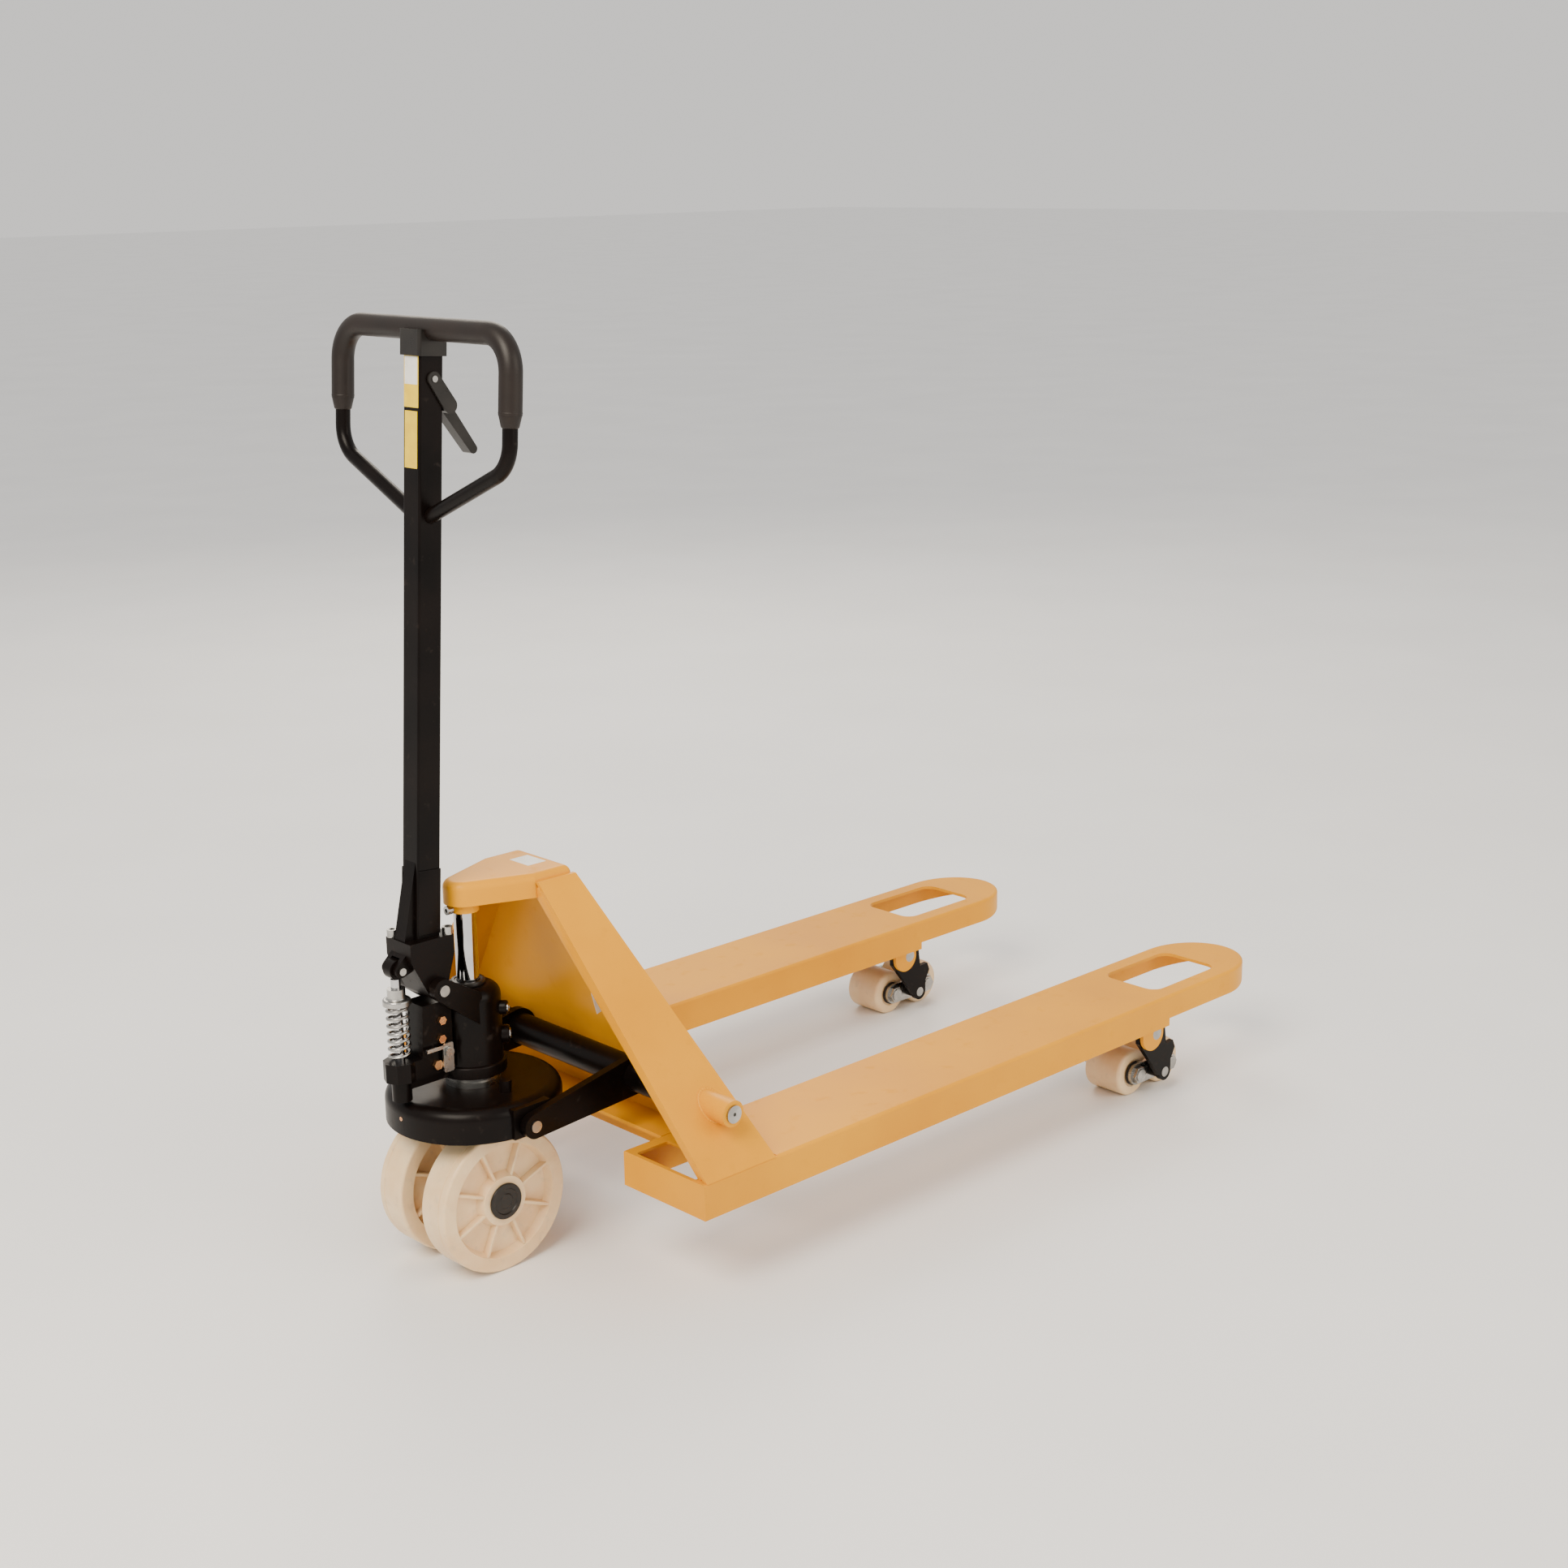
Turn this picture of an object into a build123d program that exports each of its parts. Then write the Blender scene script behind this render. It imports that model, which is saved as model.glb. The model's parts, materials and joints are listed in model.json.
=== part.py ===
"""Hand pallet jack with its forks raised and its handle upright. Millimetres.

+X points from the steering wheels to the fork tips, +Y to the left fork and +Z up.
The origin is on the floor, midway along the truck's length.
Places near the pump are measured from the steering axis, a vertical line at x = steer_x.
"""
import os
from math import asin, cos, hypot, radians, sin, tan

from build123d import *

os.makedirs("parts", exist_ok=True)

# Overall sizes
overall_width = 685.0
fork_width = 160.0
fork_length = 1220.0
fork_top = 170.0
stroke = 85.0
heel_reach = 105.0
front_reach = 137.0

# Sheet steel of the forks and frame
fork_depth = 50.0
fork_wall = 5.0
plate = 5.0
tip_length = 96.0
tip_skirt = 38.0
tip_lip = 26.0
cutout_length = 160.0
cutout_width = 104.0
heel_step = 1.0
heel_length = 130.0
pocket_length = 56.0
pocket_width = 122.0

# Head, side plates and bulkhead
head_height = 361.0
head_depth = 32.0
nose_radius = 27.0
head_half_width = 58.0
head_front = 74.0
head_back = 137.0
foot_front = 110.0
foot_back = 231.0

# Pump, piston and carrier
piston_radius = 15.0
pump_radius = 42.0
pump_top = 386.0
pump_seat = 266.0
spindle_radius = 21.0
carrier_radius = 118.0
carrier_top = 250.0
carrier_skirt = 205.0

# Steering wheels
wheel_radius = 100.0
wheel_width = 50.0
wheel_outer = 73.0
axle_offset = -11.0
axle_radius = 10.0
bearing_radius = 20.0

# Plunger and its spring
plunger_x = -113.5
plunger_radius = 6.5
plunger_top = 421.0
plunger_bottom = 302.0
plunger_bore_bottom = 254.0
spring_seat = 309.0
spring_top = 386.0
spring_radius = 13.5
spring_wire = 4.0
spring_turns = 7

# Handle
pivot_x = -67.0
pivot_z = 402.0
ear_face = 40.0
tongue_face = 27.0
handle_lean = 4.1
post_size = 35.0
post_wall = 3.0
post_foot_x = -70.0
post_foot_z = 470.0
foot_screw_gap = 9.0
foot_screw_y = 21.0
rear_screw_x = -100.0
foot_screw_radius = 5.0
foot_screw_head = 7.0
foot_screw_depth = 18.0
bar_height = 1238.0
loop_half_width = 176.0
loop_shoulder = 1082.0
loop_join = 1010.0
tube_radius = 9.5
grip_radius = 14.5
grip_end = 1144.0

# Load end
ear_reach = 946.0
ear_drop = 58.0
lever_x = 33.0
roller_radius = 37.0
roller_width = 68.0
roller_pitch = 78.0
link_thickness = 6.0
cheek_inner = 59.0
cheek_thickness = 8.0
lug_radius = 40.0

# Lifting linkage
torsion_x = 172.0
torsion_z = 243.0
torsion_radius = 22.0
side_pin_z = 221.0
arm_inner = 122.0
arm_thickness = 12.0
crank_inset = 22.5
crank_thickness = 12.0

# Clearances
running = 0.05
gap = 0.4

steer_x = (front_reach - heel_reach - fork_length) / 2
heel_x = steer_x + heel_reach
fork_y = (overall_width - fork_width) / 2
crank_y = fork_y - crank_inset
ear_x = heel_x + ear_reach
ear_z = fork_top - ear_drop
lever_z = roller_radius - ear_z
lever_length = hypot(lever_x, lever_z)
head_top = fork_top + head_height
head_bottom = head_top - head_depth
heel_top = fork_top - heel_step
axle_x = steer_x + axle_offset
sides = (("left", 1), ("right", -1))
front_screw_x = post_foot_x + post_size / 2 + foot_screw_gap
foot_screw_places = (
    (rear_screw_x, foot_screw_y),
    (front_screw_x, foot_screw_y),
    (front_screw_x, -foot_screw_y),
)

# Swings of the linkage between the raised and the lowered fork
bracket_swing = asin(-lever_z / lever_length) - asin((-lever_z - stroke) / lever_length)
arm_length = hypot(torsion_x, torsion_z - side_pin_z)
arm_rest = asin((torsion_z - side_pin_z) / arm_length)
torsion_swing = asin((stroke - torsion_z + side_pin_z) / arm_length) + arm_rest
lug_x = lug_radius * sin(bracket_swing / 2)
lug_z = lug_radius * cos(bracket_swing / 2)
crank_radius = lug_x / sin(torsion_swing / 2)
crank_end_x = torsion_x + lug_x
crank_end_z = torsion_z - crank_radius * cos(torsion_swing / 2)


def level(z, x=steer_x, y=0.0):
    """A horizontal plane at height z."""
    return Plane(origin=(x, y, z))


def upright(y=0.0, x=steer_x, z=0.0):
    """A plane across Y, seen from the right side: its own axes are X and Z."""
    return Plane(origin=(x, y, z), x_dir=(1, 0, 0), z_dir=(0, -1, 0))


def across(x=steer_x, z=0.0, y=0.0):
    """A plane across X: its own axes are Y and Z."""
    return Plane(origin=(x, y, z), x_dir=(0, 1, 0), z_dir=(1, 0, 0))


def save(part, name):
    part.label = name
    export_step(part, f"parts/{name}.step")


def disc(y_from, y_to, radius, x, z, mode=Mode.ADD):
    """Adds a cylinder along Y to the part that is being built."""
    with Locations(upright((y_from + y_to) / 2, x, z)):
        Cylinder(radius, abs(y_to - y_from), mode=mode)


def bore(y_from, y_to, radius, x, z):
    """Cuts a cylinder along Y out of the part that is being built."""
    disc(y_from, y_to, radius, x, z, mode=Mode.SUBTRACT)


def post_x(z):
    """Where the leaning post's axis is at height z, from the steering axis."""
    return post_foot_x + (z - post_foot_z) * tan(radians(handle_lean))


# Forks: folded channels, closed at the heel and rounded at the tip
straight = fork_length - tip_length
slot_half = 46.0
for name, s in sides:
    with BuildPart() as fork:
        with BuildSketch(level(fork_top, heel_x, s * fork_y)):
            with Locations((straight / 2, 0)):
                Rectangle(straight, fork_width)
            with Locations((straight, 0)):
                Ellipse(tip_length, fork_width / 2)
        extrude(amount=-fork_depth)
        rim = fork.edges().group_by(Axis.Z)[-1].filter_by(lambda e: e.center().X > heel_x + 1)
        fillet(rim, radius=fork_wall - 0.5)
        with BuildSketch(level(fork_top - fork_wall, heel_x, s * fork_y)):
            with Locations(((straight + fork_wall) / 2, 0)):
                Rectangle(straight - fork_wall, fork_width - 2 * fork_wall)
            with Locations((straight, 0)):
                Ellipse(tip_length - fork_wall, fork_width / 2 - fork_wall)
        extrude(amount=-fork_depth, mode=Mode.SUBTRACT)
        # The skirt is shallower past the load rollers and rises at the tip
        with BuildSketch(upright(s * fork_y, heel_x, fork_top - fork_depth)):
            with BuildLine():
                shallow = ear_reach + 24.0
                bend = fork_length - 88.0
                l1 = Line((shallow, -1), (shallow, fork_depth - tip_skirt))
                l2 = Line(l1 @ 1, (bend, fork_depth - tip_skirt))
                l3 = TangentArc(l2 @ 1, (fork_length + 1, fork_depth - tip_lip), tangent=(1, 0))
                Polyline(l3 @ 1, (fork_length + 1, -1), (shallow, -1))
            make_face()
        extrude(amount=fork_width, both=True, mode=Mode.SUBTRACT)
        # The heel is pressed lower than the load face and has an open pocket
        with BuildSketch(level(fork_top, heel_x, s * fork_y)):
            with Locations((heel_length / 2, 0)):
                Rectangle(heel_length, fork_width)
        extrude(amount=-heel_step, mode=Mode.SUBTRACT)
        with BuildSketch(level(fork_top, heel_x, s * fork_y)):
            with Locations((fork_wall + 1.0 + pocket_length / 2, 0)):
                RectangleRounded(pocket_length, pocket_width, 4.0)
        extrude(amount=-fork_wall - 1, mode=Mode.SUBTRACT)
        # Opening over the load rollers and slot for the lifting crank
        with BuildSketch(level(fork_top, heel_x, s * fork_y)):
            with Locations((ear_reach + 22.0 + cutout_length / 2, 0)):
                RectangleRounded(cutout_length, cutout_width, 20.0)
        extrude(amount=-fork_wall - 1, mode=Mode.SUBTRACT)
        with BuildSketch(level(fork_top, steer_x + torsion_x, s * crank_y)):
            SlotOverall(2 * slot_half, crank_thickness + 8.0)
        extrude(amount=-fork_wall - 1, mode=Mode.SUBTRACT)
    save(fork.part, f"{name}_fork")

# Side plates: leaning sheets from the head down to the forks' outer edges
rise = head_top - 10.0 - heel_top
lean_out = overall_width / 2 - head_half_width - 6.4
sheet = plate * hypot(rise, lean_out) / rise


def plate_y(z):
    """The outer face of a side plate at height z."""
    return overall_width / 2 - lean_out * (z - heel_top) / rise


boss_y = plate_y(torsion_z)
for name, s in sides:
    with BuildPart() as side_plate:
        with BuildSketch(across(steer_x)):
            Polygon(
                (s * plate_y(heel_top), heel_top),
                (s * plate_y(heel_top + rise), heel_top + rise),
                (s * (plate_y(heel_top + rise) - sheet), heel_top + rise),
                (s * (plate_y(heel_top) - sheet), heel_top),
                align=None,
            )
        extrude(amount=foot_back)
        with BuildSketch(upright(0)):
            Polygon(
                (head_front, heel_top + rise),
                (head_back, heel_top + rise),
                (foot_back, heel_top),
                (foot_front, heel_top),
                align=None,
            )
        extrude(amount=overall_width, both=True, mode=Mode.INTERSECT)
        bore(s * 150, s * 400, 18.0, steer_x + torsion_x, torsion_z)
    save(side_plate.part, f"{name}_side_plate")

# Bulkhead: the sheet that closes the frame behind the pump
bulkhead_top = head_bottom - 0.2


def plate_back(z):
    """The rear edge of the side plates at height z."""
    return foot_back + (head_back - foot_back) * (z - heel_top) / rise


with BuildPart() as bulkhead:
    with BuildSketch(upright(0)):
        Polygon(
            (plate_back(bulkhead_top) - 9.0, bulkhead_top),
            (plate_back(bulkhead_top) - 3.0, bulkhead_top),
            (plate_back(heel_top) - 3.0, heel_top),
            (plate_back(heel_top) - 9.0, heel_top),
            align=None,
        )
    extrude(amount=overall_width, both=True)
    with BuildSketch(across(steer_x)):
        Polygon(
            (plate_y(heel_top) - sheet, heel_top),
            (plate_y(bulkhead_top) - sheet, bulkhead_top),
            (sheet - plate_y(bulkhead_top), bulkhead_top),
            (sheet - plate_y(heel_top), heel_top),
            align=None,
        )
    extrude(amount=foot_back + 20, mode=Mode.INTERSECT)
save(bulkhead.part, "bulkhead")

# Cross member: the folded sheet that joins the two forks under the bulkhead
member_half = overall_width / 2 - fork_width
with BuildPart() as cross_member:
    with BuildSketch(upright(0)):
        with BuildLine():
            Polyline(
                (foot_back - 60.0, heel_top),
                (foot_back - 3.0, heel_top),
                (foot_back - 3.0, heel_top - fork_depth),
                (foot_back - 8.0, heel_top - fork_depth),
                (foot_back - 8.0, heel_top - plate),
                (foot_back - 60.0, heel_top - plate),
                close=True,
            )
        make_face()
    extrude(amount=member_half, both=True)
    with BuildSketch(level(heel_top, steer_x + foot_back - 30.0)):
        Rectangle(14.0, 60.0)
    extrude(amount=-plate, mode=Mode.SUBTRACT)
save(cross_member.part, "cross_member")

# Head casting: holds the piston's top and joins the side plates
screw_z = head_bottom - 6.5
with BuildPart() as head:
    with BuildSketch(level(head_bottom)):
        Circle(nose_radius)
        with Locations(((head_front + head_back) / 2, 0)):
            Rectangle(head_back - head_front, 2 * head_half_width)
        make_hull()
    extrude(amount=head_depth)
    corners = head.edges().filter_by(Axis.Z).group_by(Axis.X)[-1]
    fillet(corners, radius=8.0)
    fillet(head.edges().group_by(Axis.Z)[-1], radius=11.0)
    with BuildSketch(level(head_bottom)):
        Circle(19.5)
    extrude(amount=-12.0)
    with BuildSketch(level(head_bottom - 12.0)):
        Circle(piston_radius)
    extrude(amount=30.0, mode=Mode.SUBTRACT)
    with BuildSketch(across(steer_x - nose_radius, screw_z)):
        Circle(4.0)
    extrude(amount=nose_radius - piston_radius, mode=Mode.SUBTRACT)
save(head.part, "head_casting")

with BuildPart() as set_screw:
    with BuildSketch(across(steer_x - piston_radius, screw_z)):
        Circle(4.0)
    extrude(amount=-6.0)
    with BuildSketch(across(steer_x - piston_radius - 6.0, screw_z)):
        Circle(6.0)
    extrude(amount=-8.0)
    with BuildSketch(across(steer_x - piston_radius - 14.0, screw_z)):
        RegularPolygon(3.0, 6)
    extrude(amount=4.0, mode=Mode.SUBTRACT)
save(set_screw.part, "head_set_screw")

piston_bottom = pump_seat
with BuildPart() as piston:
    with BuildSketch(level(piston_bottom)):
        Circle(piston_radius)
    extrude(amount=head_bottom + 18.0 - piston_bottom)
save(piston.part, "lift_piston")

# Bosses on the side plates, with the pins that the lifting frame turns on
pin_radius = 12.0
boss_inner = boss_y - 24.0
boss_outer = boss_y + 42.0
with BuildPart() as bosses:
    for s in (1, -1):
        disc(s * boss_inner, s * boss_outer, 18.0, steer_x + torsion_x, torsion_z)
        bore(s * boss_inner, s * boss_outer, pin_radius, steer_x + torsion_x, torsion_z)
save(bosses.part, "pivot_bosses")

with BuildPart() as pivot_pins:
    for s in (1, -1):
        disc(s * (boss_inner - 34.0), s * (boss_outer + 3.0), pin_radius, steer_x + torsion_x, torsion_z)
        bore(s * (boss_outer - 1.0), s * (boss_outer + 3.0), 2.5, steer_x + torsion_x, torsion_z)
save(pivot_pins.part, "pivot_pins")

# Ears welded inside the fork walls, and the pins that carry the roller brackets
ear_thickness = 6.0
ear_outer = fork_width / 2 - fork_wall
ear_pin_radius = 10.0
with BuildPart() as ears:
    for s in (1, -1):
        for end in (1, -1):
            with BuildSketch(upright(s * fork_y + end * ear_outer, ear_x, ear_z)):
                with Locations((-10.0, 0)):
                    Circle(25.0)
                with Locations((-10.0, 22.0)):
                    Rectangle(50.0, 44.0)
                Circle(ear_pin_radius, mode=Mode.SUBTRACT)
            extrude(amount=end * ear_thickness)
save(ears.part, "roller_ears")

with BuildPart() as ear_pins:
    for s in (1, -1):
        for end in (1, -1):
            y = s * fork_y
            disc(y + end * (cheek_inner - 1.0), y + end * ear_outer, ear_pin_radius, ear_x, ear_z)
save(ear_pins.part, "roller_ear_pins")

# Lifting frame: cross tube, cranks and arms, turning on the two pivot pins
tube_half = boss_inner - 1.0
with BuildPart() as torsion_tube:
    disc(-tube_half, tube_half, torsion_radius, steer_x + torsion_x, torsion_z)
    for s in (1, -1):
        bore(s * (boss_inner - 36.0), s * tube_half, pin_radius + running, steer_x + torsion_x, torsion_z)
        with BuildSketch(upright(s * crank_y + crank_thickness / 2, steer_x, 0)):
            with Locations((torsion_x, torsion_z - torsion_radius + 2.0)):
                Circle(16.0)
            with Locations((crank_end_x, crank_end_z)):
                Circle(13.0)
            make_hull()
        extrude(amount=crank_thickness)
        crank_hole = 7.0 + running
        bore(s * crank_y - 10, s * crank_y + 10, crank_hole, steer_x + crank_end_x, crank_end_z)
        bore(s * (boss_inner - 36.0), s * tube_half, pin_radius + running, steer_x + torsion_x, torsion_z)
save(torsion_tube.part, "torsion_tube")

arm_outer = arm_inner + arm_thickness
for name, s in sides:
    with BuildPart() as arm:
        with BuildSketch(upright(s * arm_inner)):
            with Locations((0, side_pin_z)):
                Circle(17.0)
            with Locations((torsion_x, torsion_z)):
                Circle(torsion_radius + 6.0)
            make_hull()
            with Locations((torsion_x, torsion_z)):
                Circle(torsion_radius, mode=Mode.SUBTRACT)
            with Locations((0, side_pin_z)):
                Circle(8.0, mode=Mode.SUBTRACT)
        extrude(amount=-s * arm_thickness)
    save(arm.part, f"{name}_lift_arm")

with BuildPart() as side_pins:
    for s in (1, -1):
        disc(s * (carrier_radius - 8.0), s * (arm_outer + 2.0), 8.0, steer_x, side_pin_z)
save(side_pins.part, "lift_arm_pins")

# Carrier: the black base plate that the pump turns in
slip = 10.0
with BuildPart() as carrier:
    with BuildSketch(level(carrier_top)):
        Circle(carrier_radius)
    extrude(amount=carrier_skirt - carrier_top)
    fillet(carrier.edges().group_by(Axis.Z)[-1], radius=16.5)
    with BuildSketch(level(carrier_top - 12.0)):
        Circle(carrier_radius - 9.0)
    extrude(amount=-60.0, mode=Mode.SUBTRACT)
    for s in (1, -1):
        with BuildSketch(level(carrier_top - 4.0, steer_x + slip / 2, s * (carrier_radius - 6.5))):
            Rectangle(60.0, 18.0)
        extrude(amount=carrier_skirt - carrier_top + 4.0)
        with BuildSketch(upright(s * (carrier_radius - 20.0), steer_x + slip / 2, side_pin_z)):
            SlotOverall(16.0 + slip + 4.0, 16.0 + 4.0)
        extrude(amount=-s * 30.0, mode=Mode.SUBTRACT)
        with BuildSketch(level(carrier_top, steer_x + 4.0, s * 66.0)):
            Circle(8.0)
        extrude(amount=16.0)
    with BuildSketch(level(carrier_top)):
        Circle(spindle_radius + gap)
    extrude(amount=-60.0, mode=Mode.SUBTRACT)
    with BuildSketch(across(steer_x - carrier_radius - 2, 228.0)):
        Circle(3.0)
    extrude(amount=14.0, mode=Mode.SUBTRACT)
save(carrier.part, "carrier")

with BuildPart() as thrust_bearing:
    for low, high, radius in ((carrier_top, 257.0, 37.0), (257.0, pump_seat, 34.0)):
        with BuildSketch(level(low)):
            Circle(radius)
            Circle(spindle_radius + gap, mode=Mode.SUBTRACT)
        extrude(amount=high - low)
save(thrust_bearing.part, "thrust_bearing")

# Pump casting: cylinder, seat flange, spindle and the ears of the handle pivot
bore_bottom = wheel_radius + axle_radius + 18.0
with BuildPart() as pump:
    with BuildSketch(level(pump_seat)):
        Circle(pump_radius + 4.0)
    extrude(amount=16.0)
    fillet(pump.edges().group_by(Axis.Z)[-1], radius=3.0)
    with BuildSketch(level(pump_seat)):
        Circle(pump_radius)
    extrude(amount=pump_top - pump_seat)
    fillet(pump.edges().group_by(Axis.Z)[-1], radius=17.0)
    with BuildSketch(level(pump_seat)):
        Circle(spindle_radius)
    extrude(amount=wheel_radius - 20.0 - pump_seat)
    with BuildSketch(upright(0, axle_x, wheel_radius)):
        Circle(19.0)
    extrude(amount=spindle_radius, both=True)
    for s in (1, -1):
        with BuildSketch(upright(s * (tongue_face + 0.5))):
            with Locations((pivot_x, pivot_z)):
                Circle(15.0)
            with Locations((-10.0, pivot_z - 40.0)):
                Rectangle(4.0, 44.0)
            make_hull()
            with Locations((pivot_x, pivot_z)):
                Circle(7.5, mode=Mode.SUBTRACT)
        extrude(amount=-s * (ear_face - tongue_face - 0.5))
    with BuildSketch(level(bore_bottom)):
        Circle(piston_radius + running)
    extrude(amount=pump_top - bore_bottom + 1, mode=Mode.SUBTRACT)
    bore(-60, 60, axle_radius, axle_x, wheel_radius)
save(pump.part, "pump_body")

# Plunger cylinder: block beside the pump that the plunger works in
web_end = -pump_radius - 1.0
with BuildPart() as plunger_block:
    with BuildSketch(level(spring_seat - 26.0)):
        with Locations((plunger_x, 0)):
            RegularPolygon(23.0, 8)
        with Locations(((plunger_x + web_end) / 2, 0)):
            Rectangle(web_end - plunger_x, 38.0)
        with Locations((0, 0)):
            Circle(pump_radius + 0.2, mode=Mode.SUBTRACT)
    extrude(amount=26.0)
    with BuildSketch(level(spring_seat - 26.0)):
        with Locations((plunger_x, 0)):
            Circle(13.0)
    extrude(amount=plunger_bore_bottom - spring_seat + 26.0)
    with BuildSketch(level(spring_seat - 40.0)):
        with Locations(((plunger_x + web_end) / 2, 0)):
            Rectangle(web_end - plunger_x, 20.0)
        Circle(pump_radius + 5.0, mode=Mode.SUBTRACT)
    extrude(amount=14.0)
    with BuildSketch(upright(0)):
        Polygon(
            (plunger_x + 22.0, spring_seat),
            (web_end, spring_seat),
            (web_end, pivot_z - 22.0),
            (plunger_x + 26.0, pivot_z - 22.0),
            align=None,
        )
    extrude(amount=19.0, both=True)
    with BuildSketch(level(plunger_bore_bottom)):
        with Locations((plunger_x, 0)):
            Circle(plunger_radius + running)
    extrude(amount=spring_seat - plunger_bore_bottom, mode=Mode.SUBTRACT)
save(plunger_block.part, "plunger_cylinder")

with BuildPart() as handle_pin:
    disc(-ear_face - 2.5, ear_face + 2.5, 7.5, steer_x + pivot_x, pivot_z)
save(handle_pin.part, "handle_pivot_pin")

# Brass and steel screws of the release valve
with BuildPart() as fittings:
    for x, y, z, r in ((-62.0, -19.0, 330.0, 6.0), (-60.0, -19.0, 355.0, 6.0), (-70.0, -19.0, 296.0, 7.0)):
        with BuildSketch(upright(y, steer_x + x, z)):
            RegularPolygon(r, 6)
        extrude(amount=5.0)
save(fittings.part, "valve_fittings")

with BuildPart() as axle:
    disc(-wheel_outer + 3.0, wheel_outer - 3.0, axle_radius, axle_x, wheel_radius)
save(axle.part, "steering_axle")

with BuildPart() as bearings:
    for s in (1, -1):
        for inset in (2.0, wheel_width - 16.0):
            y = s * (wheel_outer - 3.0 - inset)
            disc(y, y - s * 11.0, bearing_radius, axle_x, wheel_radius)
            bore(y, y - s * 11.0, axle_radius, axle_x, wheel_radius)
save(bearings.part, "steering_wheel_bearings")

# Steering wheels: moulded nylon with a dished web
for name, s in sides:
    with BuildPart() as wheel:
        with BuildSketch(Plane(origin=(axle_x, s * (wheel_outer - wheel_width / 2), wheel_radius),
                               x_dir=(0, 0, 1), z_dir=(1, 0, 0))):
            half = wheel_width / 2
            Polygon(
                (bearing_radius + running, -half),
                (33.0, -half),
                (38.0, -half + 12.0),
                (76.0, -half + 12.0),
                (82.0, -half),
                (wheel_radius - 4.0, -half),
                (wheel_radius, -half + 4.0),
                (wheel_radius, half - 4.0),
                (wheel_radius - 4.0, half),
                (82.0, half),
                (76.0, half - 12.0),
                (38.0, half - 12.0),
                (33.0, half),
                (bearing_radius + running, half),
                align=None,
            )
        revolve(axis=Axis((axle_x, 0, wheel_radius), (0, 1, 0)))
    save(wheel.part, f"{name}_steering_wheel")
    with BuildPart() as cap:
        disc(s * wheel_outer, s * (wheel_outer + 4.0), 25.0, axle_x, wheel_radius)
        rim = cap.edges().filter_by(GeomType.CIRCLE).sort_by(Axis.Y)[-1 if s > 0 else 0]
        fillet(rim, radius=3.0)
    save(cap.part, f"{name}_hub_cap")

# Plunger with its cap and return spring
with BuildPart() as plunger:
    with BuildSketch(level(plunger_bottom)):
        with Locations((plunger_x, 0)):
            Circle(plunger_radius)
    extrude(amount=plunger_top - plunger_bottom)
save(plunger.part, "plunger_rod")

cap_rim = spring_top + 8.0
with BuildPart() as spring_cap:
    for low, high, radius in ((spring_top, cap_rim, 18.5), (cap_rim, cap_rim + 14.0, 12.0)):
        with BuildSketch(level(low)):
            with Locations((plunger_x, 0)):
                Circle(radius)
                Circle(plunger_radius, mode=Mode.SUBTRACT)
        extrude(amount=high - low)
    fillet(spring_cap.edges().filter_by(GeomType.CIRCLE).group_by(Axis.Z)[1], radius=2.5)
save(spring_cap.part, "spring_cap")

coil_height = spring_top - spring_seat - spring_wire - 0.2
with BuildPart() as spring:
    with BuildLine(level(spring_seat + spring_wire / 2 + 0.1, steer_x + plunger_x)):
        coil = Helix(pitch=coil_height / spring_turns, height=coil_height, radius=spring_radius)
    with BuildSketch(Plane(origin=coil @ 0, z_dir=coil % 0)):
        Circle(spring_wire / 2)
    sweep(is_frenet=True)
save(spring.part, "plunger_spring")

# Release lever on the pump, worked by the hand lever
with BuildPart() as release:
    with BuildSketch(upright(-24.0, steer_x - 56.0, 312.0)):
        with Locations((0, -8.0)):
            RectangleRounded(16.0, 40.0, 3.0)
        Circle(3.05, mode=Mode.SUBTRACT)
    extrude(amount=3.0)
    with BuildSketch(upright(-24.0, steer_x - 76.0, 320.0)):
        Rectangle(26.0, 5.0)
    extrude(amount=3.0)
save(release.part, "release_lever")

with BuildPart() as release_screw:
    disc(-19.0, -30.0, 3.0, steer_x - 56.0, 312.0)
    disc(-27.4, -31.0, 6.5, steer_x - 56.0, 312.0)
save(release_screw.part, "release_lever_screw")

# Handle base: tongue on the pivot pin, cam cheeks and the flange under the post
cam_x = plunger_x
cam_radius = 13.0
cam_z = plunger_top + cam_radius + gap
base_top = post_foot_z
with BuildPart() as base:
    with BuildSketch(upright(0)):
        with Locations((pivot_x, pivot_z)):
            Circle(15.0)
        with Locations((-72.0, base_top - 12.0)):
            Rectangle(68.0, 24.0)
        make_hull()
    extrude(amount=tongue_face, both=True)
    with BuildSketch(upright(0)):
        with Locations((cam_x, cam_z)):
            Circle(9.0)
        with Locations((-84.0, base_top - 18.0)):
            Rectangle(16.0, 30.0)
        make_hull()
    extrude(amount=16.0, both=True)
    with BuildSketch(upright(0, steer_x + cam_x, cam_z)):
        Circle(cam_radius + 2.5)
    extrude(amount=8.5, both=True, mode=Mode.SUBTRACT)
    bore(-30, 30, 5.0, steer_x + cam_x, cam_z)
    bore(-40, 40, 7.5 + running, steer_x + pivot_x, pivot_z)
    with BuildSketch(level(base_top)):
        with Locations(*foot_screw_places):
            Circle(foot_screw_radius)
    extrude(amount=-foot_screw_depth, mode=Mode.SUBTRACT)
save(base.part, "handle_base")

with BuildPart() as cam_pin:
    disc(-19.0, 19.0, 5.0, steer_x + cam_x, cam_z)
save(cam_pin.part, "cam_pin")

with BuildPart() as cam:
    disc(-8.0, 8.0, cam_radius, steer_x + cam_x, cam_z)
    bore(-8.0, 8.0, 5.0 + running, steer_x + cam_x, cam_z)
save(cam.part, "cam_roller")

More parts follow.
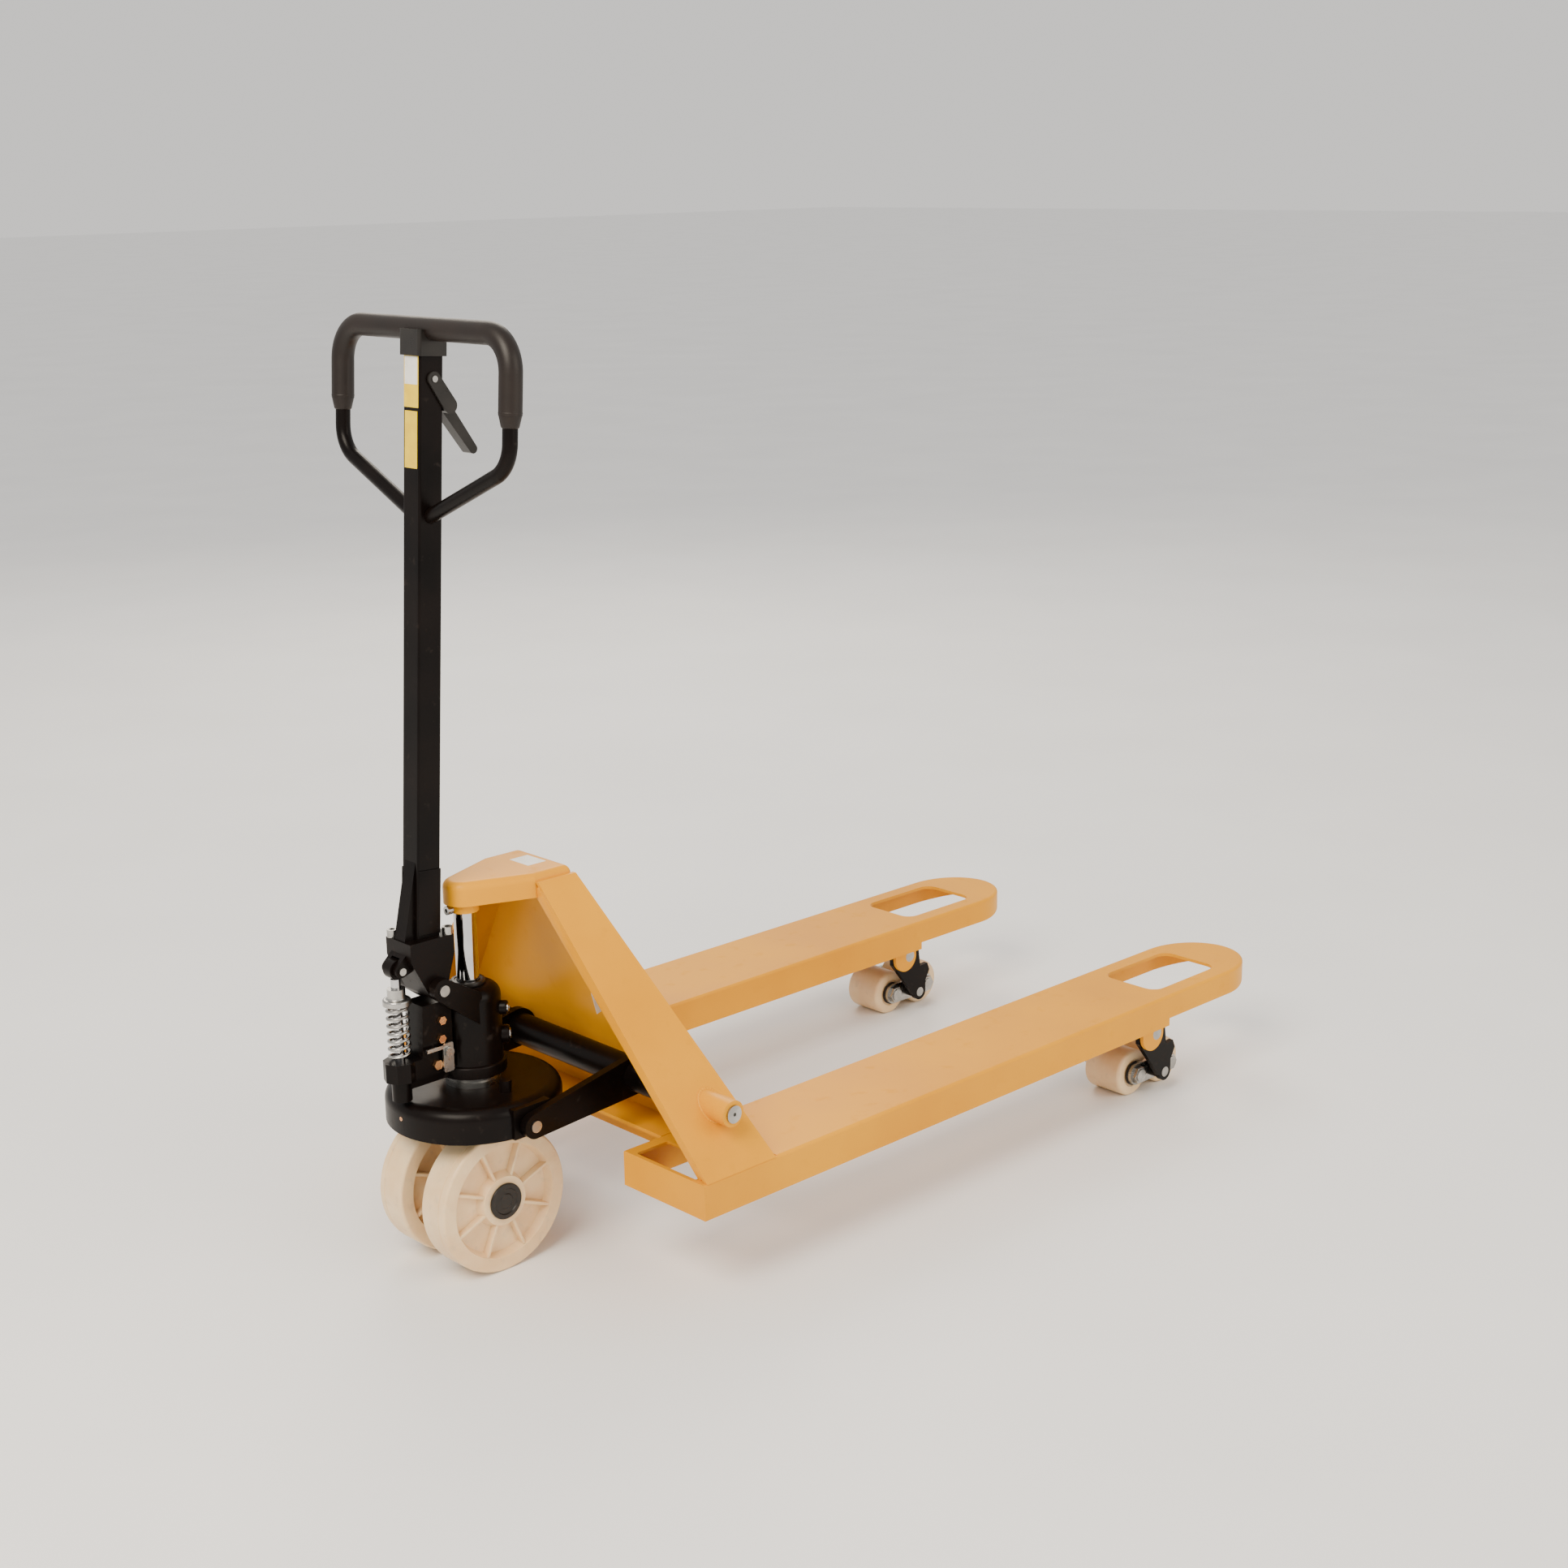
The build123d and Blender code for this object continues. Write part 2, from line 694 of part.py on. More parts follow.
with BuildPart() as foot_screws:
    with BuildSketch(level(base_top - foot_screw_depth)):
        with Locations(*foot_screw_places):
            Circle(foot_screw_radius)
    extrude(amount=foot_screw_depth)
    with BuildSketch(level(base_top)):
        with Locations(*foot_screw_places):
            Circle(foot_screw_head)
    extrude(amount=10.0)
    with BuildSketch(level(base_top + 10.0)):
        with Locations(*foot_screw_places):
            RegularPolygon(4.0, 6)
    extrude(amount=-5.0, mode=Mode.SUBTRACT)
save(foot_screws.part, "foot_screws")

# Post: leaning square tube with a flared foot
lean_dir = (sin(radians(handle_lean)), 0, cos(radians(handle_lean)))
post_plane = Plane(origin=(steer_x + post_foot_x, 0, post_foot_z), x_dir=(0, 1, 0), z_dir=lean_dir)
post_length = (bar_height - grip_radius - 4.0 - post_foot_z) / cos(radians(handle_lean))
with BuildPart() as post:
    with BuildSketch(post_plane.offset(-4.0)):
        RectangleRounded(post_size, post_size, 3.0)
        RectangleRounded(post_size - 2 * post_wall, post_size - 2 * post_wall, 1.5, mode=Mode.SUBTRACT)
    extrude(amount=post_length + 4.0)
    with BuildSketch(upright(0)):
        Polygon(
            (post_x(578.0) - post_size / 2 + 1.0, 578.0),
            (post_x(post_foot_z) - post_size / 2 - 16.0, post_foot_z),
            (post_x(post_foot_z) - post_size / 2 + 1.0, post_foot_z),
            align=None,
        )
    extrude(amount=post_size / 2 - 6.0, both=True)
    with BuildSketch(level(post_foot_z)):
        Rectangle(300, 300)
    extrude(amount=-40.0, mode=Mode.SUBTRACT)
save(post.part, "post")

# Loop: bent tube that closes below on the post, in the post's leaning plane
loop_plane = Plane(origin=(steer_x + post_x(bar_height), 0, bar_height), x_dir=(0, 1, 0),
                   z_dir=(cos(radians(handle_lean)), 0, -sin(radians(handle_lean))))
slope = cos(radians(handle_lean))
shoulder = (loop_shoulder - bar_height) / slope
join = (loop_join - bar_height) / slope
grip_low = (grip_end - bar_height) / slope
inner = post_size / 2
corner = 45.0
loop_points = ((inner - 2.0, join), (loop_half_width, shoulder), (loop_half_width, 0.0))
with BuildPart() as loop:
    for s in (1, -1):
        with BuildLine(loop_plane):
            path = FilletPolyline(
                *[(s * a, b) for a, b in loop_points], (0.0, 0.0), radius=corner)
        with BuildSketch(Plane(origin=path @ 0, z_dir=path % 0)):
            Circle(tube_radius)
        sweep(path=path)
    with BuildSketch(post_plane):
        Rectangle(post_size, post_size)
    extrude(amount=post_length, mode=Mode.SUBTRACT)
save(loop.part, "handle_loop")

with BuildPart() as grip:
    for s in (1, -1):
        with BuildLine(loop_plane):
            cover = FilletPolyline((s * loop_half_width, grip_low), (s * loop_half_width, 0.0), (0.0, 0.0),
                                   radius=corner)
        with BuildSketch(Plane(origin=cover @ 0, z_dir=cover % 0)):
            Circle(grip_radius)
            Circle(tube_radius, mode=Mode.SUBTRACT)
        sweep(path=cover)
save(grip.part, "grip_sleeve")

# Collar that clamps the grip bar to the top of the post
with BuildPart() as collar:
    with BuildSketch(post_plane.offset(post_length - 14.0)):
        RectangleRounded(post_size + 8.0, post_size + 8.0, 4.0)
        Rectangle(post_size, post_size, mode=Mode.SUBTRACT)
    extrude(amount=14.0)
    with BuildSketch(post_plane.offset(post_length)):
        RectangleRounded(post_size + 8.0, post_size + 8.0, 4.0)
    extrude(amount=18.0)
    with BuildSketch(upright(0, steer_x + post_x(bar_height), bar_height)):
        Circle(grip_radius)
    extrude(amount=40.0, both=True, mode=Mode.SUBTRACT)
save(collar.part, "top_collar")

# Hand lever: straddles the post and swings on a pin below the collar
lever_pivot_z = 1178.0
lever_pivot_x = post_x(lever_pivot_z) + 2.0
cheek_gap = post_size / 2 + gap
with BuildPart() as hand_lever:
    with BuildSketch(upright(0, steer_x + lever_pivot_x, lever_pivot_z)):
        Circle(9.0)
        with Locations((22.0, -34.0)):
            Circle(10.0)
        make_hull()
    extrude(amount=cheek_gap + 3.0, both=True)
    with BuildSketch(upright(0, steer_x + lever_pivot_x, lever_pivot_z)):
        with Locations((20.0, -32.0)):
            Circle(8.0)
        with Locations((62.0, -92.0)):
            Circle(6.0)
        make_hull()
    extrude(amount=9.0, both=True)
    with BuildSketch(post_plane):
        Rectangle(2 * cheek_gap, post_size + 3.0)
    extrude(amount=post_length + 40.0, mode=Mode.SUBTRACT)
    bore(-40, 40, 4.0 + running, steer_x + lever_pivot_x, lever_pivot_z)
save(hand_lever.part, "hand_lever")

with BuildPart() as lever_pin:
    for s in (1, -1):
        disc(s * post_size / 2, s * (cheek_gap + 4.5), 4.0, steer_x + lever_pivot_x, lever_pivot_z)
save(lever_pin.part, "hand_lever_pins")

# Push rods from the cranks to the roller brackets
rod_start_x = steer_x + crank_end_x
rod_end_x = ear_x + lug_x
rod_end_z = ear_z + lug_z
rod_side = crank_thickness / 2 + gap
bar_radius = 8.0
for name, s in sides:
    y = s * crank_y
    with BuildPart() as rod:
        for end in (1, -1):
            with BuildSketch(upright(y + end * rod_side, 0, 0)):
                with Locations((rod_start_x, crank_end_z)):
                    Circle(12.0)
                with Locations((rod_start_x + 40.0, crank_end_z)):
                    Rectangle(10.0, 16.0)
                make_hull()
            extrude(amount=-end * 5.0)
        disc(y - rod_side - 5.0, y + rod_side + 5.0, 7.0, rod_start_x, crank_end_z)
        with BuildSketch(upright(y, 0, 0)):
            Polygon(
                (rod_start_x + 36.0, crank_end_z - 8.0),
                (rod_start_x + 36.0, crank_end_z + 8.0),
                (rod_end_x - 34.0, rod_end_z + 8.0),
                (rod_end_x - 34.0, rod_end_z - 8.0),
                align=None,
            )
        extrude(amount=rod_side + 5.0, both=True)
        with BuildSketch(upright(y, 0, 0)):
            with Locations((rod_end_x - 30.0, rod_end_z)):
                Rectangle(12.0, 16.0)
            with Locations((rod_end_x - bar_radius - 4.0, rod_end_z)):
                Rectangle(6.0, 14.0)
            make_hull()
        extrude(amount=rod_side + 5.0, both=True)
    save(rod.part, f"{name}_push_rod")

# Load rollers on their links, brackets and pins
link_inner = roller_width / 2 + 3.0
link_outer = link_inner + link_thickness
bogie_x = ear_x + lever_x
stub_radius = 8.0
for name, s in sides:
    y = s * fork_y
    with BuildPart() as bracket:
        for end in (1, -1):
            with BuildSketch(upright(y + end * cheek_inner, ear_x, ear_z)):
                with BuildLine():
                    Polyline(
                        (-34.0, 4.0),
                        (-33.0, -12.0),
                        (-6.0, -46.0),
                        (lever_x - 16.0, lever_z - 2.0),
                        (lever_x, lever_z - 4.0),
                        (lever_x + 14.0, lever_z + 4.0),
                        (lever_x + 14.0, lever_z + 18.0),
                        (57.0, -40.0),
                        (52.0, -27.0),
                        (34.0, -28.0),
                        (30.0, 4.0),
                        (34.0, lug_z),
                        (lug_x, lug_z + 12.0),
                        (lug_x - 14.0, lug_z + 8.0),
                        close=True,
                    )
                make_face()
                with Locations((lever_x, lever_z)):
                    Circle(14.0)
                Circle(ear_pin_radius + running, mode=Mode.SUBTRACT)
                with Locations((lever_x, lever_z)):
                    Circle(stub_radius, mode=Mode.SUBTRACT)
            extrude(amount=-end * cheek_thickness)
            boss_from = y + end * (link_outer + gap)
            disc(boss_from, y + end * cheek_inner, 12.0, bogie_x, ear_z + lever_z)
            bore(boss_from, y + end * cheek_inner, stub_radius, bogie_x, ear_z + lever_z)
        disc(y - cheek_inner, y + cheek_inner, bar_radius, ear_x + lug_x, ear_z + lug_z)
    save(bracket.part, f"{name}_roller_bracket")
    with BuildPart() as stubs:
        for end in (1, -1):
            stub_end = y + end * (cheek_inner + cheek_thickness + 0.5)
            disc(y + end * link_inner, stub_end, stub_radius, bogie_x, ear_z + lever_z)
    save(stubs.part, f"{name}_bogie_pins")
    with BuildPart() as links:
        for end in (1, -1):
            with BuildSketch(upright(y + end * link_inner, bogie_x, ear_z + lever_z)):
                SlotCenterToCenter(roller_pitch, 34.0)
                Circle(stub_radius + running, mode=Mode.SUBTRACT)
                with Locations((-roller_pitch / 2, 0), (roller_pitch / 2, 0)):
                    Circle(axle_radius, mode=Mode.SUBTRACT)
            extrude(amount=-end * link_thickness)
    save(links.part, f"{name}_bogie_links")
    with BuildPart() as load_axles:
        for step in (-1, 1):
            x = bogie_x + step * roller_pitch / 2
            disc(y - link_outer - 9.0, y + link_outer + 9.0, axle_radius, x, roller_radius)
            for end in (1, -1):
                with BuildSketch(upright(y + end * link_outer, x, roller_radius)):
                    RegularPolygon(14.0, 6)
                extrude(amount=-end * 7.0)
    save(load_axles.part, f"{name}_roller_axles")
    with BuildPart() as seals:
        for step in (-1, 1):
            x = bogie_x + step * roller_pitch / 2
            for end in (1, -1):
                with BuildSketch(upright(y + end * (roller_width / 2 + 0.4), x, roller_radius)):
                    Circle(19.0)
                    Circle(axle_radius, mode=Mode.SUBTRACT)
                extrude(amount=-end * 2.5)
    save(seals.part, f"{name}_roller_seals")
    for place, step in (("rear", -1), ("front", 1)):
        with BuildPart() as roller:
            x = bogie_x + step * roller_pitch / 2
            disc(y - roller_width / 2, y + roller_width / 2, roller_radius, x, roller_radius)
            chamfer(roller.edges().filter_by(GeomType.CIRCLE), length=3.0)
            bore(y - roller_width, y + roller_width, axle_radius + running, x, roller_radius)
        save(roller.part, f"{name}_{place}_roller")
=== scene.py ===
# %% [markdown]
# A hand pallet jack, finished for a studio picture. The sheet steel, castings, pins and wheels
# come in as a fixed frame: every one already has its size and place. This script gives each
# of them a surface, and models the parts whose look needs more than their plain working
# shape: ribbed wheels, rounded rollers, the coil spring, grip cuffs, labels and welds.

# %% Load the frame
import json
from math import cos, pi, radians, sin

import bmesh
import bpy
from mathutils import Matrix, Vector


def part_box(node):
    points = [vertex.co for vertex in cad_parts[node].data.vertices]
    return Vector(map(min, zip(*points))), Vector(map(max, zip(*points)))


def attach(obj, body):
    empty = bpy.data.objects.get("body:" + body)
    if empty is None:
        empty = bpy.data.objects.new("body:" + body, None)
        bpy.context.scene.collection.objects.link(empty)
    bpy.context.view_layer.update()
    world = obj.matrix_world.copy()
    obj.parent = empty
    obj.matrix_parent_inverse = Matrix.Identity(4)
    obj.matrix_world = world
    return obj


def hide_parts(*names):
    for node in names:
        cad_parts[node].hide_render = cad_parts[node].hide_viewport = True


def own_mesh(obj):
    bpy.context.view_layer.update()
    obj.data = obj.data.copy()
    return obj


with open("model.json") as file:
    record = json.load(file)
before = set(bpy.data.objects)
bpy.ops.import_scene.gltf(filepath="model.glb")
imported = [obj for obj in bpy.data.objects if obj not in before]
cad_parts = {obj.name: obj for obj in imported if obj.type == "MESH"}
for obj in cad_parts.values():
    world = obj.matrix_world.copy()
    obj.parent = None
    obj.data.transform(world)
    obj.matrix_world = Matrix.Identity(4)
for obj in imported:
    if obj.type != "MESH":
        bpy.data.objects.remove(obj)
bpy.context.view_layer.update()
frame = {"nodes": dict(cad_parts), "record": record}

# %% [markdown]
# Places come from the frame. A node's box gives its lowest and highest corners, so its
# middle and its size follow from two short helpers.

# %% Places taken from the frame


def middle(node):
    low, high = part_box(node)
    return Vector([(a + b) / 2 for a, b in zip(low, high)])


def size(node):
    low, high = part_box(node)
    return Vector([b - a for a, b in zip(low, high)])


SIDES = (("left", 1), ("right", -1))
ACROSS = (pi / 2, 0, 0)
LEAN = radians(4.1)
print("wheel middle", middle("left_steering_wheel"), "size", size("left_steering_wheel"))

# %% [markdown]
# The camera stands at chest height, ahead of the steering wheels and off the right side, and
# looks along the truck towards the fork tips. A normal lens keeps the far fork in scale.
# A heading is an angle from +Y towards +X, as on a compass.

# %% Camera
CAMERA_PLACE = (-2.305, -2.409, 1.437)
HEADING = radians(43.585)
TILT = radians(-15.045)
ROLL = radians(-0.901)
camera_data = bpy.data.cameras.new("camera")
camera_data.lens = 53.79
camera_data.sensor_width = 36.0
camera = bpy.data.objects.new("camera", camera_data)
bpy.context.collection.objects.link(camera)
turn = Matrix.Rotation(-HEADING, 4, "Z")
turn = turn @ Matrix.Rotation(pi / 2 + TILT, 4, "X")
turn = turn @ Matrix.Rotation(ROLL, 4, "Z")
camera.matrix_world = Matrix.Translation(CAMERA_PLACE) @ turn
bpy.context.scene.camera = camera
print("camera at", CAMERA_PLACE)

# %% [markdown]
# Shader maths reads best as plain arithmetic. A Value wraps one socket, and adding or
# multiplying Values adds the Math nodes. A Finish is one material with one method, add,
# for every other kind of node.

# %% Shader arithmetic


class Value:
    """One shader socket that works in arithmetic like a number."""

    def __init__(self, finish, socket):
        self.finish = finish
        self.socket = socket

    def math(self, operation, first, second):
        return self.finish.add("ShaderNodeMath", {"operation": operation}, {0: first, 1: second})

    def __add__(self, other):
        return self.math("ADD", self, other)

    def __mul__(self, other):
        return self.math("MULTIPLY", self, other)

    __radd__ = __add__
    __rmul__ = __mul__


class Finish:
    """A material being made: add() makes a node, shade() sets the main shader."""

    def __init__(self, name):
        self.material = bpy.data.materials.new(name)
        self.material.use_nodes = True
        self.nodes = self.material.node_tree.nodes
        self.links = self.material.node_tree.links
        self.shader = self.nodes["Principled BSDF"]
        self.place = self.add("ShaderNodeTexCoord", {}, {}, "Object")

    def connect(self, socket, value):
        if isinstance(value, Value):
            self.links.new(value.socket, socket)
        else:
            socket.default_value = value

    def add(self, kind, settings, sockets, output=0):
        node = self.nodes.new(kind)
        for name, setting in settings.items():
            setattr(node, name, setting)
        for name, value in sockets.items():
            self.connect(node.inputs[name], value)
        return Value(self, node.outputs[output])

    def shade(self, sockets):
        for name, value in sockets.items():
            self.connect(self.shader.inputs[name], value)
        return self.material

    def noise(self, scale, detail=3.0):
        return self.add("ShaderNodeTexNoise", {}, {"Vector": self.place, "Scale": scale, "Detail": detail})

    def spread(self, value, low, high, to_low=0.0, to_high=1.0):
        sockets = {"Value": value, "From Min": low, "From Max": high, "To Min": to_low, "To Max": to_high}
        return self.add("ShaderNodeMapRange", {}, sockets)

    def blend(self, mask, first, second):
        settings = {"data_type": "RGBA"}
        return self.add("ShaderNodeMix", settings, {0: mask, 6: first, 7: second}, 2)

    def bump(self, height, strength, distance):
        return self.add("ShaderNodeBump", {}, {"Height": height, "Strength": strength, "Distance": distance})

    def height(self):
        return self.add("ShaderNodeSeparateXYZ", {}, {0: self.place}, "Z")


def colour(red, green, blue):
    return (red, green, blue, 1.0)


# %% [markdown]
# Powder coat is an even, slightly soft gloss with a fine orange-peel ripple. Two tones of
# the colour drift slowly over the sheet, as thick and thin coats do, and a few dark specks
# and dull patches keep it from looking like plastic. Low down, painted shade darkens it.

# %% Yellow powder coat


def yellow_paint():
    coat = Finish("yellow_powder_coat")
    drift = coat.spread(coat.noise(5.0), 0.35, 0.65)
    tone = coat.blend(drift, colour(0.70, 0.285, 0.0005), colour(0.78, 0.335, 0.0010))
    specks = coat.spread(coat.noise(900.0, 1.0), 0.73, 0.77)
    tone = coat.blend(specks * 0.45, tone, colour(0.33, 0.12, 0.005))
    worn = coat.spread(coat.noise(38.0, 5.0), 0.60, 0.72)
    tone = coat.blend(worn * 0.10, tone, colour(0.45, 0.17, 0.004))
    # Painted shade: the yellow darkens towards the floor, below 0.13 m, where shade falls under the frame.
    floor_shade = coat.spread(coat.height(), 0.13, 0.0, 0.0, 0.25)
    tone = coat.blend(floor_shade, tone, colour(0.42, 0.17, 0.01))
    peel = coat.noise(420.0, 2.0)
    return coat.shade({
        "Base Color": tone,
        "Roughness": coat.spread(drift, 0.0, 1.0, 0.33, 0.42) + worn * 0.12,
        "Normal": coat.bump(peel, 0.10, 0.0006),
        "Specular IOR Level": 0.15,
        "Coat Weight": 0.03,
        "Coat Roughness": 0.18,
    })


# %% [markdown]
# The castings and the handle carry a warm black paint. Castings show a little of the sand
# they were poured in, so a coarse grain lies under the fine one.

# %% Black paint


def black_paint():
    coat = Finish("black_paint")
    drift = coat.spread(coat.noise(14.0), 0.3, 0.7)
    tone = coat.blend(drift, colour(0.0020, 0.0012, 0.0010), colour(0.0050, 0.0028, 0.0022))
    rub = coat.spread(coat.noise(60.0, 6.0), 0.64, 0.74)
    tone = coat.blend(rub * 0.35, tone, colour(0.040, 0.030, 0.025))
    grain = coat.noise(520.0, 3.0) * 0.6 + coat.noise(150.0, 3.0) * 0.4
    return coat.shade({
        "Base Color": tone,
        "Roughness": coat.spread(drift, 0.0, 1.0, 0.28, 0.38) + rub * 0.2,
        "Normal": coat.bump(grain, 0.16, 0.0006),
        "Specular IOR Level": 0.10,
        "Coat Weight": 0.02,
        "Coat Roughness": 0.2,
    })


# %% [markdown]
# Zinc-plated steel is bright but cloudy: its roughness drifts from one patch to the next and
# fine turning marks run round it. Hard chrome is the same idea with far less of both.

# %% Bare metals


def metal(name, light, dark, smooth, rough, ripple):
    plate = Finish(name)
    cloud = plate.spread(plate.noise(45.0, 4.0), 0.35, 0.65)
    marks = plate.noise(1400.0, 2.0)
    return plate.shade({
        "Base Color": plate.blend(cloud, light, dark),
        "Metallic": 1.0,
        "Roughness": plate.spread(cloud, 0.0, 1.0, smooth, rough),
        "Normal": plate.bump(marks, ripple, 0.0002),
    })


def bright_steel():
    return metal("plated_steel", colour(0.46, 0.45, 0.43), colour(0.33, 0.325, 0.31), 0.20, 0.36, 0.12)


def chrome():
    return metal("hard_chrome", colour(0.56, 0.56, 0.57), colour(0.48, 0.48, 0.50), 0.05, 0.11, 0.03)


def brass():
    return metal("coppered_brass", colour(0.74, 0.40, 0.20), colour(0.60, 0.34, 0.15), 0.20, 0.36, 0.10)


# %% [markdown]
# Cast nylon lets a little light in, so it glows at its thin ribs. It yellows unevenly, and the
# tread picks up grey dirt where it rolls.

# %% Cream nylon


def nylon():
    cast = Finish("cream_nylon")
    cloud = cast.spread(cast.noise(26.0, 4.0), 0.32, 0.68)
    tone = cast.blend(cloud, colour(0.78, 0.53, 0.28), colour(0.85, 0.64, 0.38))
    dirt = cast.spread(cast.noise(75.0, 6.0), 0.58, 0.74)
    tone = cast.blend(dirt * 0.28, tone, colour(0.46, 0.35, 0.26))
    return cast.shade({
        "Base Color": tone,
        "Roughness": cast.spread(cloud, 0.0, 1.0, 0.34, 0.46) + dirt * 0.15,
        "Normal": cast.bump(cast.noise(260.0, 3.0), 0.12, 0.0005),
        "Subsurface Weight": 0.18,
        "Subsurface Radius": (0.006, 0.004, 0.002),
        "Subsurface Scale": 1.0,
    })


# %% [markdown]
# Moulded plastic and the dipped grip are both near black. The plastic is glossy with a faint
# sink ripple, and the grip is dull with a fine leathery grain.

# %% Plastic and rubber


def black_plastic():
    moulded = Finish("black_plastic")
    cloud = moulded.spread(moulded.noise(30.0), 0.3, 0.7)
    return moulded.shade({
        "Base Color": moulded.blend(cloud, colour(0.010, 0.009, 0.008), colour(0.018, 0.015, 0.013)),
        "Roughness": moulded.spread(cloud, 0.0, 1.0, 0.26, 0.36),
        "Normal": moulded.bump(moulded.noise(600.0, 2.0), 0.10, 0.0003),
        "Specular IOR Level": 0.30,
    })


def grip_rubber():
    grip = Finish("grip_rubber")
    grain = grip.add("ShaderNodeTexVoronoi", {}, {"Vector": grip.place, "Scale": 900.0})
    cloud = grip.spread(grip.noise(22.0), 0.3, 0.7)
    return grip.shade({
        "Base Color": grip.blend(cloud, colour(0.007, 0.004, 0.003), colour(0.013, 0.008, 0.006)),
        "Roughness": grip.spread(cloud, 0.0, 1.0, 0.40, 0.52),
        "Normal": grip.bump(grain, 0.20, 0.0003),
        "Specular IOR Level": 0.30,
    })


# %% [markdown]
# The labels stay blank: a printed yellow or white film with a slightly uneven ink and a
# faint crinkle where it was rubbed down. Two tones of one ink drift over each film.

# %% Label films


def film(name, light, dark):
    ink = Finish(name)
    cloud = ink.spread(ink.noise(60.0, 4.0), 0.35, 0.65)
    return ink.shade({
        "Base Color": ink.blend(cloud, light, dark),
        "Roughness": ink.spread(cloud, 0.0, 1.0, 0.28, 0.40),
        "Normal": ink.bump(ink.noise(180.0, 2.0), 0.08, 0.0004),
    })


# %% [markdown]
# The frame's record names a slot for each node, and a slot has one finish. The two label films
# aren't slots of their own, so the labels that wear them are made further down.

# %% Every CAD node gets the finish of its slot
FINISHES = {
    "yellow_paint": yellow_paint(),
    "black_paint": black_paint(),
    "bright_steel": bright_steel(),
    "chrome": chrome(),
    "nylon": nylon(),
    "black_plastic": black_plastic(),
    "grip_rubber": grip_rubber(),
    "brass": brass(),
}
label_yellow = film("yellow_film", colour(0.80, 0.56, 0.01), colour(0.72, 0.48, 0.01))
label_white = film("white_film", colour(0.78, 0.76, 0.70), colour(0.68, 0.66, 0.60))
for part in frame["record"]["subparts"]:
    node = frame["nodes"][part["node"]]
    node.data.materials.clear()
    node.data.materials.append(FINISHES[part["material_slot"]])

# %% [markdown]
# Every new piece is modelled the same way: a primitive at its size and place, then edit-mode
# steps on faces chosen by where they are, then modifiers that are applied. These helpers
# hold what repeats.

# %% Modelling helpers


def begin():
    """Deselects everything, so that an operator touches only what comes next."""
    if bpy.context.object and bpy.context.object.mode != "OBJECT":
        bpy.ops.object.mode_set(mode="OBJECT")
    bpy.ops.object.select_all(action="DESELECT")


def settle():
    """Applies the active object's place, so that its mesh is in the frame's own metres."""
    bpy.ops.object.transform_apply(location=True, rotation=True, scale=True)
    return bpy.context.object


def drum(radius, length, place, rotation=(0, 0, 0), sides=96):
    begin()
    bpy.ops.mesh.primitive_cylinder_add(vertices=sides, radius=radius, depth=length, location=place,
                                        rotation=rotation)
    return settle()


def block(sizes, place, rotation=(0, 0, 0)):
    begin()
    bpy.ops.mesh.primitive_cube_add(size=1, location=place, rotation=rotation)
    bpy.context.object.scale = sizes
    return settle()


def choose_faces(piece, test):
    """Selects the faces of the piece whose centre and normal pass the test."""
    bpy.ops.object.mode_set(mode="EDIT")
    bpy.ops.mesh.select_mode(type="FACE")
    bpy.ops.mesh.select_all(action="DESELECT")
    mesh = bmesh.from_edit_mesh(piece.data)
    for face in mesh.faces:
        face.select_set(test(face.calc_center_median(), face.normal))
    bmesh.update_edit_mesh(piece.data)


def step_cap(piece, direction, steps):
    """Insets the end face that looks along direction: each step is (inwards, outwards)."""
    direction = Vector(direction)
    tallest = max(vertex.co @ direction for vertex in piece.data.vertices)

    def at_the_end(centre, normal):
        return normal @ direction > 0.99 and centre @ direction > tallest - 1e-5

    choose_faces(piece, at_the_end)
    for inwards, outwards in steps:
        bpy.ops.mesh.inset(thickness=inwards, depth=outwards)
    bpy.ops.object.mode_set(mode="OBJECT")


def soften(piece, width, segments=3, angle=40):
    modifier = piece.modifiers.new("soften", "BEVEL")
    modifier.width = width
    modifier.segments = segments
    modifier.limit_method = "ANGLE"
    modifier.angle_limit = radians(angle)
    bpy.ops.object.modifier_apply(modifier=modifier.name)


def join(pieces):
    begin()
    for piece in pieces:
        piece.select_set(True)
    bpy.context.view_layer.objects.active = pieces[0]
    bpy.ops.object.join()
    return bpy.context.object


def bridge_middles(piece, centre, axis, reach):
    """Bridges the two end faces that lie round the axis through centre into a bore."""
    axis = Vector(axis)

    def in_the_middle(place, normal):
        away = place - centre
        away = away - axis * (away @ axis)
        return abs(normal @ axis) > 0.99 and away.length < reach

    choose_faces(piece, in_the_middle)
    bpy.ops.mesh.bridge_edge_loops()
    bpy.ops.object.mode_set(mode="OBJECT")


def deliver(piece, name, body, slot, material=None, replaces=()):
    """Names the finished piece, ties it to its body and gives it the finish of its slot, unless a material
    is given.
    """
    begin()
    piece.select_set(True)
    bpy.context.view_layer.objects.active = piece
    bpy.ops.object.shade_smooth_by_angle(angle=radians(35))
    piece.name = name
    piece.data.name = name
    piece.data.materials.clear()
    piece.data.materials.append(material or FINISHES[slot])
    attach(piece, body)
    if replaces:
        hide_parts(*replaces)
    print(name, len(piece.data.polygons), "faces")
    return piece


# %% [markdown]
# A steering wheel is one moulding: a thick rim, a sunk web with radial ribs and a hub that
# holds the bearings. It starts as a drum. Each end is stepped inwards with insets, the two
# middle faces are bridged into the bore, and the ribs are bevelled blocks sunk in the web.

# %% Steering wheels
RIBS = 8
RIB_THICK = 0.0045
RIB_SINK = 0.62
WHEEL_ROUND = 0.004
WEB_DEPTH = 0.012
WEB_SLOPE = 0.005
RIM = 0.016
HUB_RADIUS = 0.034
BORE_RADIUS = 0.0202
SEAM_INSET = 0.012
SEAM_WIDTH = 0.0018
SEAM_DEPTH = 0.0010
